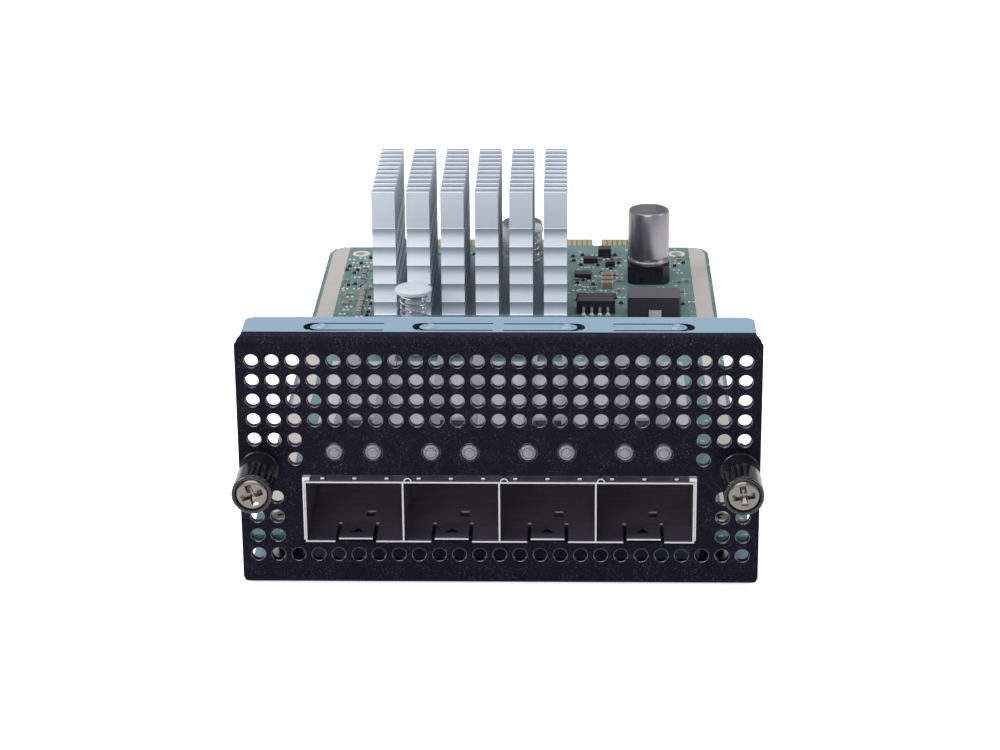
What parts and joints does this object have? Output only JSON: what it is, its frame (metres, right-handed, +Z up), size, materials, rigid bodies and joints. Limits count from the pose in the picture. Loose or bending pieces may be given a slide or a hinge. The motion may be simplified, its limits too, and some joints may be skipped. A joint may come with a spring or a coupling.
{
  "type": "ethernet expansion module",
  "caption": "Plug-in network interface module: perforated black bezel with caged transceiver ports and captive thumbscrews, on a board with finned heat sink and card-edge tail.",
  "frame": {"origin": "bottom centre of the module's bounding box", "axes": "+X to the right seen from the front, +Y from the bezel back to the card-edge tail, +Z up"},
  "size_m": [0.0768, 0.1536, 0.0399],
  "materials": {
    "black_powder_coat": "fine speckled powder coat, folds bare zinc",
    "zinc_plate": "bright plated screws",
    "stainless_sheet": "thin stamped cage sheet",
    "spring_steel": "wound wire",
    "copper_alloy": "tin-plated spring collar",
    "solder_mask_green": "glass-fibre board with green mask",
    "plated_copper": "bare tinned copper",
    "gold_plate": "gold-plated fingers",
    "anodised_aluminium": "pale extruded aluminium",
    "black_moulding": "black moulded plastic",
    "chip_epoxy": "moulded package",
    "grey_pad": "soft gap pad",
    "white_nylon": "white nylon",
    "clear_acrylic": "clear moulded light guide",
    "lamp_package": "lamp package",
    "can_aluminium": "drawn capacitor can",
    "choke_moulding": "pressed powder choke",
    "tan_ceramic": "tan ceramic chip",
    "tinned_lead": "tinned leads",
    "knob_black": "black knob",
    "ferrule_black": "black plated ferrule"
  },
  "bodies": {
    "module": {"front_bezel": "black_powder_coat", "board_screws": "zinc_plate", "circuit_board": "solder_mask_green", "guide_strips": "plated_copper", "edge_contacts": "gold_plate", "cage_top": "stainless_sheet", "cage_floor": "stainless_sheet", "cage_spring_collar": "copper_alloy", "status_leds": "lamp_package", "heat_sink": "anodised_aluminium", "thermal_pad": "grey_pad", "controller_chip": "chip_epoxy", "regulator_chip": "chip_epoxy", "regulator_leads": "tinned_lead", "power_inductor": "choke_moulding", "inductor_terminals": "tinned_lead", "ceramic_capacitors": "tan_ceramic", "chip_resistors": "chip_epoxy", "power_transistors": "chip_epoxy", "flash_chip": "chip_epoxy", "clock_crystal": "tinned_lead", "cage_divider_1": "stainless_sheet", "cage_divider_2": "stainless_sheet", "cage_divider_3": "stainless_sheet", "port_connector_1": "black_moulding", "light_pipe_1": "clear_acrylic", "port_connector_2": "black_moulding", "light_pipe_2": "clear_acrylic", "port_connector_3": "black_moulding", "light_pipe_3": "clear_acrylic", "port_connector_4": "black_moulding", "light_pipe_4": "clear_acrylic", "capacitor_1_can": "can_aluminium", "capacitor_1_base": "black_moulding", "capacitor_2_can": "can_aluminium", "capacitor_2_base": "black_moulding", "push_pin_spring_front": "spring_steel", "push_pin_spring_rear": "spring_steel", "left_ferrule": "ferrule_black", "left_thumbscrew_spring": "spring_steel", "right_ferrule": "ferrule_black", "right_thumbscrew_spring": "spring_steel"},
    "left_ring": {"left_retaining_ring": "spring_steel"},
    "left_thumbscrew": {"left_knob": "knob_black", "left_screw": "zinc_plate"},
    "right_ring": {"right_retaining_ring": "spring_steel"},
    "right_thumbscrew": {"right_knob": "knob_black", "right_screw": "zinc_plate"},
    "front_push_pin": {"push_pin_front": "white_nylon"},
    "rear_push_pin": {"push_pin_rear": "white_nylon"}
  },
  "joints": [
    {"name": "left_thumbscrew_push", "type": "slide", "parent": "module", "child": "left_ring", "axis": [0, 1, 0], "range_m": [0, 0.0032], "stiffness_N_per_m": 250, "springref_m": -0.002, "deforming": ["left_thumbscrew_spring"]},
    {"name": "left_thumbscrew_turn", "type": "hinge", "parent": "left_ring", "child": "left_thumbscrew", "pos_m": [-0.0354, -0.06505, 0.0187], "axis": [0, 1, 0], "continuous": true},
    {"name": "right_thumbscrew_push", "type": "slide", "parent": "module", "child": "right_ring", "axis": [0, 1, 0], "range_m": [0, 0.0032], "stiffness_N_per_m": 250, "springref_m": -0.002, "deforming": ["right_thumbscrew_spring"]},
    {"name": "right_thumbscrew_turn", "type": "hinge", "parent": "right_ring", "child": "right_thumbscrew", "pos_m": [0.0354, -0.06505, 0.0187], "axis": [0, 1, 0], "continuous": true},
    {"name": "front_push_pin_press", "type": "slide", "parent": "module", "child": "front_push_pin", "axis": [0, 0, -1], "range_m": [0, 0.0015], "stiffness_N_per_m": 600, "springref_m": -0.0015, "deforming": ["push_pin_spring_front"]},
    {"name": "rear_push_pin_press", "type": "slide", "parent": "module", "child": "rear_push_pin", "axis": [0, 0, -1], "range_m": [0, 0.0015], "stiffness_N_per_m": 600, "springref_m": -0.0015, "deforming": ["push_pin_spring_rear"]}
  ]
}
